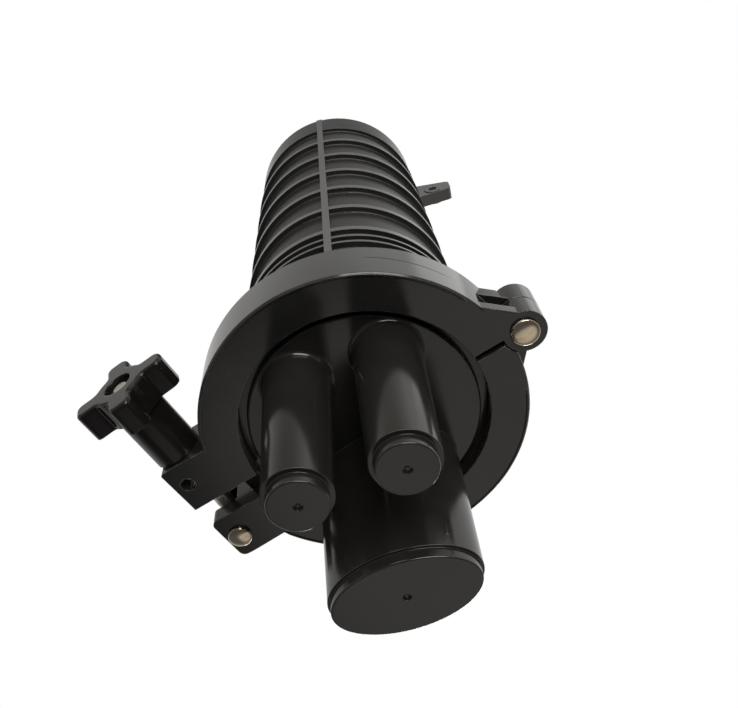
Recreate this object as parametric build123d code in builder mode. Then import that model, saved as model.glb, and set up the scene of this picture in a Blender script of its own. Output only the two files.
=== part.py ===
"""Dome splice closure: a ribbed dome held to a three-port base by a hinged V-groove clamp."""

import os
from math import cos, radians, sin, sqrt, tan

from build123d import *

os.makedirs("parts", exist_ok=True)

# Driving dimensions in millimetres and degrees. The closed port ends lie at z = 0, the dome
# points up, and the clamp hinge lies towards +X.

# Clamp ring and its V groove
port_reach = 95.0
clamp_width = 32.0
clamp_outer_r = 92.0
ring_wall = 6.7
groove_depth = 15.1
groove_half_width = 4.5
groove_angle = 20.0
clamp_edge = 0.8
split_gap = 3.5

# Hinge of the clamp
hinge_stand = 8.6
knuckle_r = 12.2
knuckle_gap = 0.9
seam_gap = 0.7
hinge_pin_r = 5.0
hinge_head_r = 8.0
knob_arm_angle = 16.4
pin_arm_angle = 20.0
arm_bevel = 3.6
arm_bevel_land = 0.5
arm_pocket_depth = 6.5
arm_front_wall = 6.5

# Ears, bolt and knob
ear_gap = 13.8
ear_end = 8.6
ear_outer = 38.5
pin_ear_corner_r = 4.0
knob_ear_corner_r = 1.5
ear_pin_offset = 24.0
bolt_stand = 13.4
bolt_lean = 2.0
bolt_slot_width = 11.0
bolt_shoulder = 0.2
bolt_eye_r = 9.0
bolt_pin_r = 4.3
bolt_head_r = 7.2
pin_head_height = 2.2
pin_tail = 2.5
clip_thickness = 1.2
clip_flange = 4.0
barrel_r = 14.0
barrel_length = 35.3
star_height = 18.2
star_tip_r = 28.0
star_hub_r = 16.5
star_lobe_width = 14.0
star_lobes = 4
star_turn = 14.0
star_edge = 2.2
recess_rim = 0.6
recess_depth = 4.5
bolt_sink = 2.0
insert_wall = 3.0
insert_length = 24.0

# Base plate, flange and seal
plate_inset = 4.7
plate_recess = 5.0
plate_thickness = 5.0
plate_edge = 1.2
base_wall = 4.0
channel_depth = 5.0
channel_gap = 1.0
seal_inset = 7.2
seal_width = 5.0
seal_depth = 3.4
base_turn = 12.65

# Ports: two round ones and an oval one
port_gap = 13.4
port_margin = 2.65
round_port_spread = 36.0
port_draft = 1.25
port_wall = 3.0
port_root_fillet = 2.4
tip_length = 6.4
tip_step = 2.4
tip_wall = 4.0
tip_edge = 0.7
oval_axis_gap = 11.73
oval_margin = 1.63
oval_fullness = 0.57
oval_tip_step = 1.5
oval_draft = 0.9
dimple_r = 2.3
dimple_depth = 1.4

# Dome with its rings, fins, upright ribs and hanging lug
dome_rise = 342.5
dome_taper = 4.4
rib_height = 4.0
dome_wall = 3.5
dome_end_wall = 5.0
dome_end_edge = 5.0
ring_count = 6
ring_start = 73.9
ring_thickness = 5.0
ring_cove = 1.2
end_band = 36.4
band_inset = 0.8
fin_count = 2
fin_pitch = 8.8
fin_thickness = 2.2
upright_count = 4
upright_width = 4.6
upright_start = 5.0
upright_turn = -70.4
lug_turn = 21.9
lug_drop = 62.5
lug_hole_r = 3.6
lug_hole_reach = 16.3
lug_boss_r = 7.1
lug_boss_height = 0.8
lug_below_root = 12.0
lug_below_tip = 4.5
lug_above_root = 15.5
lug_above_tip = 11.5
lug_end = 15.3
lug_corner_r = 4.0
lug_thickness = 10.0

# Bracket, trays and fittings inside
boss_r = 4.5
boss_height = 8.0
boss_hole_depth = 10.0
boss_inset = 8.0
boss_spacing = 14.0
sheet = 2.0
foot_width = 28.0
foot_offset = -3.0
bracket_inset = 9.8
bracket_headroom = 44.5
bracket_bend = 3.0
screw_r = 2.0
screw_head_r = 4.0
screw_head_height = 2.4
screw_length = 9.0
tray_count = 4
tray_depth = 7.6
tray_pitch = 8.6
tray_wall = 1.5
tray_start = 58.0
tray_headroom = 28.0
tray_corner_r = 14.0
tray_hinge_r = 3.0
tray_hinge_drop = 10.0
tray_hinge_step = 5.0
tray_arm_width = 8.0
tray_pin_r = 1.25
tower_cheek = 3.0
tower_web = 2.5
tower_rim = 5.0
holder_margin = 12.0
holder_length = 42.0
holder_height = 4.6
holder_slot_pitch = 7.6
holder_slot_width = 3.4
holder_slot_depth = 3.2
holder_start = 60.0
cover_thickness = 1.2
strap_thickness = 1.0
strap_width = 14.0
basket_depth = 24.0
basket_wall = 2.0
basket_start = 62.0
basket_headroom = 48.0
basket_corner_r = 18.0
basket_screw_inset = 47.5
anchor_width = 16.0
anchor_height = 34.0
anchor_foot = 11.0
anchor_eye_r = 3.2

# Clearances
running_fit = 0.05
flange_fit = 0.35
flange_gap = 0.6
parting_gap = 0.5
seat_fit = 0.15
head_fit = 0.1
loose_fit = 0.3
screw_fit = 0.4
lip_gap = 1.4
foot_gap = 4.0
anchor_gap = 3.0
tray_gap = 4.5
strap_gap = 17.5
basket_gap = 6.0

# Sizes that follow from the ring of the clamp, from the outside in
groove_bottom_r = clamp_outer_r - ring_wall
lip_r = groove_bottom_r - groove_depth
flange_r = groove_bottom_r - flange_gap
seal_mid_r = flange_r - seal_inset
seal_inner_r = seal_mid_r - seal_width / 2
seal_outer_r = seal_mid_r + seal_width / 2
channel_r = lip_r + channel_gap
plate_r = lip_r - plate_inset
cup_r = plate_r - base_wall
dome_mouth_r = lip_r - lip_gap + rib_height
dome_end_r = dome_mouth_r - dome_taper
hinge_offset = clamp_outer_r + hinge_stand
bolt_offset = clamp_outer_r + bolt_stand
ear_reach = bolt_offset + ear_end
bolt_eye_width = bolt_slot_width - 2 * loose_fit
bolt_r = bolt_eye_width / 2 - bolt_shoulder
insert_r = bolt_r + insert_wall
recess_r = insert_r + recess_rim

# Levels and directions that follow from the sizes above
front_z = port_reach
mid_z = front_z + clamp_width / 2
rear_z = front_z + clamp_width
plate_z = front_z + plate_recess
plate_top_z = plate_z + plate_thickness
base_face_z = mid_z - parting_gap / 2
dome_face_z = mid_z + parting_gap / 2
dome_end_z = rear_z + dome_rise
groove_slope = tan(radians(groove_angle))
seal_floor_z = base_face_z - seal_depth
lean = radians(bolt_lean)
seat_distance = (ear_outer + ear_pin_offset) / cos(lean)
foot_z = plate_top_z + boss_height
foot_top_z = foot_z + sheet
FRONT, BACK = -1, 1


def turned(angle, length=1.0):
    """Horizontal vector at an angle from +X."""
    return Vector(length * cos(radians(angle)), length * sin(radians(angle)), 0)


def level(height, turn=0.0):
    """Horizontal work plane, turned about the axis."""
    return Plane(origin=(0, 0, height), x_dir=turned(turn), z_dir=(0, 0, 1))


def base_level(height):
    """Horizontal work plane in line with the ports: local +Y points at the oval port."""
    return level(height, base_turn)


def radial_plane(angle):
    """Upright work plane through the axis: local x is the radius and local y the height."""
    return Plane(origin=(0, 0, 0), x_dir=turned(angle), z_dir=turned(angle - 90))


def groove_half(radius):
    """Half the width of the clamp's V groove at a radius."""
    return groove_half_width + (groove_bottom_r - radius) * groove_slope


def rib_r(height):
    """Radius of the dome's rings at a height."""
    share = (height - rear_z) / dome_rise
    return dome_mouth_r + (dome_end_r - dome_mouth_r) * share


def wall_r(height):
    """Outer radius of the dome's wall between the rings."""
    return rib_r(height) - rib_height


def finish(piece, name):
    """Label a piece and write it to its own file."""
    piece.part.label = name
    export_step(piece.part, f"parts/{name}.step")


# Port base: a shallow cup with a wedge flange, its ports moulded shut until they are sawn open
tube_length = plate_z - tip_length
port_ring_r = plate_r - port_margin
spread_sine = sin(radians(round_port_spread))
port_root_r = (port_ring_r * spread_sine - port_gap / 2) / (1 + spread_sine)
round_port_radius = port_ring_r - port_root_r
round_ports = [turned(-90 + side * round_port_spread, round_port_radius) for side in (-1, 1)]
port_end_r = port_root_r - tube_length * tan(radians(port_draft))
tip_r = port_end_r - tip_step
oval_growth = tube_length * tan(radians(oval_draft))
oval_ring_r = plate_r - oval_margin
oval_root_short = (oval_ring_r - oval_axis_gap) / 2
oval_root_long = sqrt(oval_ring_r * oval_root_short) + oval_fullness
oval_centre = Vector(0, oval_ring_r - oval_root_short)
oval_end_long = oval_root_long - oval_growth
oval_end_short = oval_root_short - oval_growth
oval_tip_long = oval_end_long - oval_tip_step
oval_tip_short = oval_end_short - oval_tip_step
foot_half_length = sqrt(cup_r**2 - (foot_width / 2 - foot_offset) ** 2) - foot_gap
boss_reach = foot_half_length - boss_inset
boss_grid = [
    Vector(x * boss_reach, foot_offset + y * boss_spacing / 2)
    for x in (-1, 1)
    for y in (-1, 1)
]
up = (Align.CENTER, Align.CENTER, Align.MIN)
down = (Align.CENTER, Align.CENTER, Align.MAX)

with BuildPart() as port_base:
    with BuildSketch(Plane.XZ):
        with BuildLine():
            Polyline(
                (0, plate_z),
                (plate_r, plate_z),
                (plate_r, plate_z + channel_depth),
                (channel_r, plate_z + channel_depth),
                (channel_r, mid_z - groove_half(channel_r) + flange_fit),
                (flange_r, mid_z - groove_half(flange_r) + flange_fit),
                (flange_r, base_face_z),
                (seal_outer_r + running_fit, base_face_z),
                (seal_outer_r + running_fit, seal_floor_z),
                (seal_inner_r - running_fit, seal_floor_z),
                (seal_inner_r - running_fit, base_face_z),
                (cup_r, base_face_z),
                (cup_r, plate_top_z),
                (0, plate_top_z),
                close=True,
            )
        make_face()
    revolve(axis=Axis.Z)
    with Locations(base_level(0)):
        with Locations([Location((p.X, p.Y, 0)) for p in round_ports]):
            Cylinder(tip_r, tip_length, align=up)
        with Locations([Location((p.X, p.Y, tip_length)) for p in round_ports]):
            Cone(port_end_r, port_root_r, tube_length, align=up)
    with BuildSketch(base_level(0)):
        with Locations(oval_centre):
            Ellipse(oval_tip_long, oval_tip_short)
    extrude(amount=tip_length)
    with BuildSketch(base_level(tip_length)):
        with Locations(oval_centre):
            Ellipse(oval_end_long, oval_end_short)
    with BuildSketch(base_level(plate_z)):
        with Locations(oval_centre):
            Ellipse(oval_root_long, oval_root_short)
    loft()
    # Bores of the ports, open to the inside of the cup
    with Locations(base_level(tip_wall)):
        with Locations([Location((p.X, p.Y, 0)) for p in round_ports]):
            Cone(
                tip_r - port_wall,
                port_root_r - port_wall,
                plate_top_z - tip_wall,
                align=up,
                mode=Mode.SUBTRACT,
            )
    with BuildSketch(base_level(tip_wall)):
        with Locations(oval_centre):
            Ellipse(oval_tip_long - port_wall, oval_tip_short - port_wall)
    with BuildSketch(base_level(plate_top_z)):
        with Locations(oval_centre):
            Ellipse(oval_root_long - port_wall, oval_root_short - port_wall)
    loft(mode=Mode.SUBTRACT)
    # Bosses for the bracket screws
    with Locations(base_level(plate_top_z)):
        with Locations([Location((p.X, p.Y, 0)) for p in boss_grid]):
            Cylinder(boss_r, boss_height, align=up)
    with Locations(base_level(foot_z)):
        with Locations([Location((p.X, p.Y, 0)) for p in boss_grid]):
            Cylinder(screw_r + running_fit, boss_hole_depth, align=down, mode=Mode.SUBTRACT)
    # Sprue dimple in the middle of each port end
    with Locations(base_level(0)):
        with Locations([Location((p.X, p.Y, 0)) for p in (*round_ports, oval_centre)]):
            Cylinder(dimple_r, dimple_depth, align=up, mode=Mode.SUBTRACT)
    root_edges = [
        edge
        for edge in port_base.edges().filter_by(GeomType.CIRCLE)
        if abs(edge.radius - port_root_r) < 0.01 and abs(edge.center().Z - plate_z) < 0.01
    ]
    fillet(root_edges, port_root_fillet)
    plate_rim = [
        edge
        for edge in port_base.edges().filter_by(GeomType.CIRCLE)
        if abs(edge.radius - plate_r) < 0.01 and abs(edge.center().Z - plate_z) < 0.01
    ]
    fillet(plate_rim, min(plate_edge, base_wall / 3))
    tip_edges = [
        edge
        for edge in port_base.edges().group_by(Axis.Z)[0]
        if edge.length > 4 * dimple_r * 2
    ]
    fillet(tip_edges, tip_edge)
finish(port_base, "port_base")

# Dome cover: a drafted moulded shell with rings, fins, upright ribs and a lug to hang it by
band_z = dome_end_z - end_band
ring_pitch = (band_z - rear_z - ring_start) / ring_count
ring_fronts = [rear_z + ring_start + ring_pitch * n for n in range(ring_count)]
fin_fronts = [rear_z + ring_start - fin_pitch * (n + 1) - fin_thickness for n in range(fin_count)]
shoulder_r = wall_r(rear_z)
shoulder_z = mid_z + groove_half(shoulder_r) - flange_fit
inner_end_z = dome_end_z - dome_end_wall
end_edge = min(dome_end_edge, dome_end_wall)
upright_angles = [upright_turn + 360 / upright_count * n for n in range(upright_count)]
upright_low = rear_z + upright_start
upright_end_r = rib_r(dome_end_z)
root_bite = dome_wall / 2
lug_z = dome_end_z - lug_drop
lug_root_r = wall_r(lug_z)
lug_hole_x = lug_root_r + lug_hole_reach
lug_tip_x = lug_hole_x + lug_end


def quarter(centre, radius, from_angle):
    """Quarter circle in a profile, from an angle on by 90 degrees."""
    steps = [radians(from_angle + turn) for turn in (0, 45, 90)]
    points = [centre + Vector(radius * cos(a), radius * sin(a)) for a in steps]
    return ThreePointArc(*points)


def cove(height):
    """Hollow curve from the dome's wall out to the front of a ring."""
    foot_r = wall_r(height - ring_cove)
    return quarter(Vector(foot_r + ring_cove, height - ring_cove), ring_cove, 90)


with BuildPart() as dome_cover:
    with BuildSketch(Plane.XZ):
        with BuildLine():
            band_cove = cove(band_z)
            Polyline(
                band_cove @ 0,
                (rib_r(band_z) - band_inset, band_z),
                (upright_end_r - band_inset, dome_end_z),
                (0, dome_end_z),
                (0, inner_end_z),
                (wall_r(inner_end_z) - dome_wall, inner_end_z),
                (wall_r(dome_face_z) - dome_wall, dome_face_z),
                (flange_r, dome_face_z),
                (flange_r, mid_z + groove_half(flange_r) - flange_fit),
                (shoulder_r, shoulder_z),
                band_cove @ 1,
            )
        make_face()
    revolve(axis=Axis.Z)
    end_rim = dome_cover.edges().filter_by(GeomType.CIRCLE).group_by(Axis.Z)[-1]
    fillet(end_rim, end_edge)
    with BuildSketch(Plane.XZ):
        for low in ring_fronts:
            high = low + ring_thickness
            with BuildLine():
                ring_curve = cove(low)
                Polyline(
                    ring_curve @ 0,
                    (rib_r(low), low),
                    (rib_r(high), high),
                    (wall_r(high) - root_bite, high),
                    (wall_r(high) - root_bite, low - ring_cove),
                    ring_curve @ 1,
                )
            make_face()
        for low in fin_fronts:
            high = low + fin_thickness
            with BuildLine():
                Polyline(
                    (wall_r(low) - root_bite, low),
                    (rib_r(low), low),
                    (rib_r(high), high),
                    (wall_r(high) - root_bite, high),
                    close=True,
                )
            make_face()
    revolve(axis=Axis.Z)
    # Upright ribs, which run over the end band and round its edge
    for angle in upright_angles:
        with BuildSketch(radial_plane(angle)):
            with BuildLine():
                end_curve = quarter(
                    Vector(upright_end_r - end_edge, dome_end_z - end_edge), end_edge, 0
                )
                Polyline(
                    end_curve @ 1,
                    (upright_end_r - end_edge - root_bite, dome_end_z),
                    (upright_end_r - end_edge - root_bite, inner_end_z),
                    (wall_r(inner_end_z) - root_bite, inner_end_z),
                    (wall_r(upright_low) - root_bite, upright_low),
                    (rib_r(upright_low), upright_low),
                    end_curve @ 0,
                )
            make_face()
        extrude(amount=upright_width / 2, both=True)
    # Hanging lug: a tapered plate beside one upright rib, with a raised rim round its hole
    lug_plane = radial_plane(lug_turn)
    with BuildSketch(lug_plane):
        with BuildLine():
            Polyline(
                (lug_root_r - root_bite, lug_z - lug_below_root),
                (lug_tip_x, lug_z - lug_below_tip),
                (lug_tip_x, lug_z + lug_above_tip),
                (lug_root_r - root_bite, lug_z + lug_above_root),
                close=True,
            )
        make_face()
        tip_corners = [v for v in vertices() if v.X > lug_tip_x - 0.01]
        fillet(tip_corners, lug_corner_r)
    extrude(amount=lug_thickness / 2, both=True)
    with BuildSketch(lug_plane):
        with Locations((lug_hole_x, lug_z)):
            Circle(lug_boss_r)
    extrude(amount=lug_thickness / 2 + lug_boss_height, both=True)
    with BuildSketch(lug_plane):
        with Locations((lug_hole_x, lug_z)):
            Circle(lug_hole_r)
    extrude(amount=lug_thickness, both=True, mode=Mode.SUBTRACT)
finish(dome_cover, "dome_cover")

# Seal ring: a moulded rubber ring that stands proud of its groove and meets the dome's flange
with BuildPart() as seal_ring:
    with BuildSketch(Plane.XZ):
        with Locations((seal_mid_r, (seal_floor_z + dome_face_z) / 2)):
            RectangleRounded(seal_width, dome_face_z - seal_floor_z, seal_width / 5)
    revolve(axis=Axis.Z)
finish(seal_ring, "seal_ring")

# Clamp halves: each is a half ring with a V groove, a forked ear and one hinge knuckle
hinge_place = Vector(hinge_offset, 0)
arm_rise = sqrt(knuckle_r**2 - (hinge_head_r / 4) ** 2)
front_zone = (front_z, mid_z)
rear_zone = (mid_z, rear_z)
slot_end_x = -bolt_offset + bolt_eye_r + 3 * loose_fit


def ear_outline(side):
    """Outline of one ear: its outer edge is crowned about the other ear's pin."""
    other_pin = Vector(-bolt_offset, -side * ear_pin_offset)
    along = Vector(sin(lean), side * cos(lean))
    across = Vector(cos(lean), -side * sin(lean))
    foot = other_pin + along * seat_distance

    def crown(x):
        return Vector(x, other_pin.Y + side * sqrt(seat_distance**2 - (x - other_pin.X) ** 2))

    crown_end = crown(-ear_reach)
    crown_mid = crown((foot.X - ear_reach) / 2)
    inside = foot + across * (ear_reach - lip_r)
    with BuildSketch() as outline:
        with BuildLine():
            ThreePointArc(crown_end, crown_mid, foot)
            Polyline(
                foot,
                inside,
                (inside.X, side * ear_gap / 2),
                (-ear_reach, side * ear_gap / 2),
                crown_end,
            )
        make_face()
    return outline.sketch


def hinge_arm(side, low, root_angle):
    """Arm that carries a hinge knuckle: bevelled at its rear, and cored out behind its front."""
    root = turned(side * root_angle, clamp_outer_r)
    tip = Vector(hinge_offset + hinge_head_r / 4, side * arm_rise)
    run = tip - root
    with BuildPart() as arm:
        with BuildSketch(level(low)):
            with BuildLine():
                Polyline(
                    root,
                    tip,
                    (hinge_offset, side * split_gap / 2),
                    ((groove_bottom_r + clamp_outer_r) / 2, side * split_gap / 2),
                    close=True,
                )
            make_face()
        extrude(amount=rear_z - low)
        rear_face = arm.faces().sort_by(Axis.Z)[-1]
        rear_edge_middle = (root + tip) / 2 + Vector(0, 0, rear_z)
        rear_edge = rear_face.edges().sort_by_distance(rear_edge_middle)[0]
        bevel_height = clamp_width / 2 - arm_bevel_land
        chamfer(rear_edge, arm_bevel, bevel_height, reference=rear_face)
        if low < mid_z:
            pocket_z = front_z + arm_front_wall
            with BuildSketch(Plane(origin=(root.X, root.Y, pocket_z), x_dir=run.normalized())):
                with Locations((run.length / 2, 0)):
                    Rectangle(run.length + 2 * arm_pocket_depth, 2 * arm_pocket_depth)
            extrude(amount=mid_z - pocket_z, mode=Mode.SUBTRACT)
    return arm.part


def other_side(side):
    """Outline of what lies across the split: the gap is wider between the ears."""
    reach = clamp_outer_r + knuckle_r
    with BuildSketch() as outline:
        for x, gap in ((-reach / 2, ear_gap / 2), (reach / 2, split_gap / 2)):
            with Locations((x, side * (gap - reach) / 2)):
                Rectangle(reach, reach + gap)
    return outline.sketch


def clamp_half(side, own_zone, arm_low, arm_angle, corner_r, corner_from):
    """Mould one half of the clamp on one side of the split."""
    ear = ear_outline(side)
    arm = hinge_arm(side, arm_low, arm_angle)
    across = other_side(side)
    with BuildPart() as half:
        with BuildSketch(Plane.XZ):
            with BuildLine():
                Polyline(
                    (lip_r, front_z),
                    (clamp_outer_r - clamp_edge, front_z),
                    (clamp_outer_r, front_z + clamp_edge),
                    (clamp_outer_r, rear_z - clamp_edge),
                    (clamp_outer_r - clamp_edge, rear_z),
                    (lip_r, rear_z),
                    close=True,
                )
            make_face()
        revolve(axis=Axis.Z)
        with BuildSketch(level(front_z)):
            add(across)
        extrude(amount=clamp_width, mode=Mode.SUBTRACT)
        with BuildSketch(level(front_z)):
            add(ear)
        extrude(amount=clamp_width)
        add(arm)
        # Room for the knuckle of the other half, then the knuckle of this one
        own_low, own_high = own_zone
        other_low = mid_z if own_zone == front_zone else front_z
        with BuildSketch(level(other_low)):
            with Locations(hinge_place):
                Circle(knuckle_r + knuckle_gap)
        extrude(amount=clamp_width / 2, mode=Mode.SUBTRACT)
        knuckle_low = own_low + (seam_gap / 2 if own_zone == rear_zone else 0)
        knuckle_high = own_high - (seam_gap / 2 if own_zone == front_zone else 0)
        with BuildSketch(level(knuckle_low)):
            with Locations(hinge_place):
                Circle(knuckle_r)
        extrude(amount=knuckle_high - knuckle_low)
        with BuildSketch(level(front_z)):
            with Locations(hinge_place):
                Circle(hinge_pin_r + running_fit)
        extrude(amount=clamp_width, mode=Mode.SUBTRACT)
        with BuildSketch(Plane.XZ):
            with BuildLine():
                Polyline(
                    (0, front_z - 1),
                    (lip_r, front_z - 1),
                    (lip_r, mid_z - groove_half(lip_r)),
                    (groove_bottom_r, mid_z - groove_half_width),
                    (groove_bottom_r, mid_z + groove_half_width),
                    (lip_r, mid_z + groove_half(lip_r)),
                    (lip_r, rear_z + 1),
                    (0, rear_z + 1),
                    close=True,
                )
            make_face()
        revolve(axis=Axis.Z, mode=Mode.SUBTRACT)
        # Slot for the bolt, open outwards, and the cross hole for its pin
        slot_start_x = -ear_reach - bolt_r
        with BuildSketch(Plane(origin=(0, 0, mid_z), x_dir=(1, 0, 0), z_dir=(0, side, 0))):
            with Locations(((slot_start_x + slot_end_x) / 2, 0)):
                Rectangle(slot_end_x - slot_start_x, bolt_slot_width)
        extrude(amount=2 * ear_outer, mode=Mode.SUBTRACT)
        with BuildSketch(level(front_z)):
            with Locations((-bolt_offset, side * ear_pin_offset)):
                Circle(bolt_pin_r + running_fit)
        extrude(amount=clamp_width, mode=Mode.SUBTRACT)
        ear_corners = [
            edge
            for edge in half.edges().filter_by(Axis.Z)
            if edge.center().X < -ear_reach + 0.01 and abs(edge.center().Y) > corner_from
        ]
        fillet(ear_corners, corner_r)
    return half


clamp_half_knob = clamp_half(
    FRONT, front_zone, front_z, knob_arm_angle, knob_ear_corner_r, ear_outer / 2
)
finish(clamp_half_knob, "clamp_half_knob")
clamp_half_pin = clamp_half(BACK, rear_zone, mid_z, pin_arm_angle, pin_ear_corner_r, 0)
finish(clamp_half_pin, "clamp_half_pin")

# Plated steel pins of the hinge and of the bolt, each with a push-on ring at its far end
ear_pin_place = Vector(-bolt_offset, ear_pin_offset)


def headed_pin(place, radius, head_radius):
    """Turned pin with a domed head on the front face."""
    with BuildPart() as pin:
        with Locations((place.X, place.Y, front_z - head_fit)):
            Cylinder(radius, clamp_width + head_fit + pin_tail, align=up)
            Cylinder(head_radius, pin_head_height, align=down)
        fillet(pin.edges().group_by(Axis.Z)[0], pin_head_height / 2)
    return pin


hinge_pin = headed_pin(hinge_place, hinge_pin_r, hinge_head_r)
finish(hinge_pin, "hinge_pin")
bolt_pin = headed_pin(ear_pin_place, bolt_pin_r, bolt_head_r)
finish(bolt_pin, "bolt_pin")

with BuildPart() as pin_clips:
    with BuildSketch(level(rear_z + head_fit)):
        for place, radius in ((hinge_place, hinge_pin_r), (ear_pin_place, bolt_pin_r)):
            with Locations(place):
                Circle(radius + clip_flange)
                Circle(radius + running_fit, mode=Mode.SUBTRACT)
    extrude(amount=clip_thickness)
finish(pin_clips, "pin_clips")

# Swing bolt: an eye on the ear pin and a threaded shank that passes through the knob
bolt_way = Vector(sin(lean), -cos(lean), 0)
barrel_start = seat_distance + seat_fit
star_start = barrel_start + barrel_length
star_end = star_start + star_height
bolt_end = star_end - bolt_sink
insert_end = star_end - recess_depth


def bolt_plane(distance):
    """Work plane square to the bolt, at a distance from its pin: local x points inwards."""
    origin = Vector(-bolt_offset, ear_pin_offset, mid_z) + bolt_way * distance
    return Plane(origin=origin, x_dir=(cos(lean), sin(lean), 0), z_dir=bolt_way)


with BuildPart() as eye_bolt:
    with BuildSketch(level(mid_z - bolt_eye_width / 2)):
        with Locations(ear_pin_place):
            Circle(bolt_eye_r)
    extrude(amount=bolt_eye_width)
    with BuildSketch(bolt_plane(0)):
        Circle(bolt_r)
    extrude(amount=bolt_end)
    chamfer(eye_bolt.faces().sort_by(Axis.Y)[0].edges(), bolt_r / 5)
    with BuildSketch(level(mid_z - bolt_eye_width)):
        with Locations(ear_pin_place):
            Circle(bolt_pin_r + running_fit)
    extrude(amount=2 * bolt_eye_width, mode=Mode.SUBTRACT)
finish(eye_bolt, "eye_bolt")

# Star knob: a long moulded barrel with four lobes and a recess over the bolt's end
lobe_reach = star_tip_r - star_lobe_width / 4
with BuildPart() as star_knob:
    with BuildSketch(bolt_plane(barrel_start)):
        Circle(barrel_r)
    extrude(amount=barrel_length)
    with BuildSketch(bolt_plane(star_start)):
        Circle(star_hub_r)
        with PolarLocations(0, star_lobes, star_turn):
            with Locations((star_tip_r / 2, 0)):
                Rectangle(star_tip_r, star_lobe_width)
        lobe_corners = [v for v in vertices() if Vector(*v).length > star_tip_r - 0.01]
        fillet(lobe_corners, star_lobe_width / 3)
        valleys = [v for v in vertices() if Vector(*v).length < star_hub_r + 0.01]
        fillet(valleys, star_lobe_width / 3)
    extrude(amount=star_height)
    star_top = star_knob.faces().sort_by(Axis.Y)[0]
    fillet(star_top.edges(), star_edge)
    with BuildSketch(bolt_plane(insert_end)):
        Circle(recess_r)
    extrude(amount=2 * recess_depth, mode=Mode.SUBTRACT)
    with BuildSketch(bolt_plane(insert_end - insert_length)):
        Circle(insert_r + running_fit)
    extrude(amount=insert_length, mode=Mode.SUBTRACT)
    with BuildSketch(bolt_plane(barrel_start)):
        Circle(bolt_r + loose_fit)
    extrude(amount=insert_end - barrel_start, mode=Mode.SUBTRACT)
finish(star_knob, "star_knob")

with BuildPart() as knob_insert:
    with BuildSketch(bolt_plane(insert_end - insert_length)):
        Circle(insert_r)
        Circle(bolt_r + running_fit, mode=Mode.SUBTRACT)
    extrude(amount=insert_length)
finish(knob_insert, "knob_insert")

# Tray bracket: one folded steel sheet, its foot screwed to the bosses of the base
bracket_back = foot_offset - sheet / 2
bracket_face = foot_offset + sheet / 2
bracket_top_z = inner_end_z - bracket_headroom
anchor_reach = boss_reach - screw_head_r - anchor_gap - anchor_width / 2
anchor_places = [
    (-anchor_reach, foot_offset - foot_width / 2, -1),
    (anchor_reach, foot_offset - foot_width / 2, -1),
    (0, foot_offset + foot_width / 2, 1),
]
anchor_holes = [
    Vector(x, edge - way * (sheet + (anchor_foot - sheet) / 2)) for x, edge, way in anchor_places
]
tower_low_z = foot_top_z + tray_start - tray_hinge_drop - tray_hinge_step * tray_count - tower_rim
basket_low_z = foot_top_z + basket_start
basket_high_z = bracket_top_z - basket_headroom
tower_screw_z = tower_low_z + tower_rim
basket_screw_z = [basket_low_z + basket_screw_inset, basket_high_z - basket_screw_inset]
tray_first = bracket_face + tower_web + loose_fit
tray_backs = [tray_first + tray_pitch * n for n in range(tray_count)]
tray_low_z = foot_top_z + tray_start
tray_high_z = bracket_top_z - tray_headroom
tray_length = tray_high_z - tray_low_z
cover_back = tray_backs[-1] + tray_depth
cover_front = cover_back + cover_thickness
room_r = wall_r(bracket_top_z) - dome_wall
tray_width = 2 * (sqrt(room_r**2 - cover_front**2) - tray_gap)
bracket_width = tray_width - 2 * bracket_inset
tower_inner = tray_width - 2 * tray_corner_r
tower_screw_x = tower_inner / 4


def upright_plane(offset):
    """Upright work plane across the trays: local x runs across and local y is the height."""
    return Plane(
        origin=turned(base_turn + 90, offset),
        x_dir=turned(base_turn),
        z_dir=turned(base_turn - 90),
    )


with BuildPart() as tray_bracket:
    with BuildSketch(base_level(foot_z)):
        with Locations((0, foot_offset)):
            RectangleRounded(2 * foot_half_length, foot_width, bracket_bend)
        with Locations(boss_grid):
            Circle(screw_r + screw_fit, mode=Mode.SUBTRACT)
        with Locations(anchor_holes):
            Circle(screw_r + running_fit, mode=Mode.SUBTRACT)
    extrude(amount=sheet)
    with BuildSketch(upright_plane(bracket_face)):
        with Locations((0, (foot_z + sheet / 2 + bracket_top_z) / 2)):
            Rectangle(bracket_width, bracket_top_z - foot_z - sheet / 2)
        with Locations((0, bracket_top_z - bracket_width / 2)):
            SlotOverall(bracket_width / 2, bracket_width / 6, mode=Mode.SUBTRACT)
        with Locations([(side * tower_screw_x, tower_screw_z) for side in (-1, 1)]):
            Circle(screw_r + running_fit, mode=Mode.SUBTRACT)
        with Locations([(0, z) for z in basket_screw_z]):
            Circle(screw_r + running_fit, mode=Mode.SUBTRACT)
    extrude(amount=sheet)
finish(tray_bracket, "tray_bracket")


def screw(plane, place, length):
    """Pan-head screw that stands on a plane, with its shank going down through it."""
    with Locations(plane):
        with Locations((place[0], place[1], 0)):
            Cylinder(screw_head_r, screw_head_height, align=up)
            Cylinder(screw_r, length, align=down)


with BuildPart() as bracket_screws:
    for place in boss_grid:
        screw(base_level(foot_top_z), (place.X, place.Y), screw_length)
finish(bracket_screws, "bracket_screws")

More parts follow.
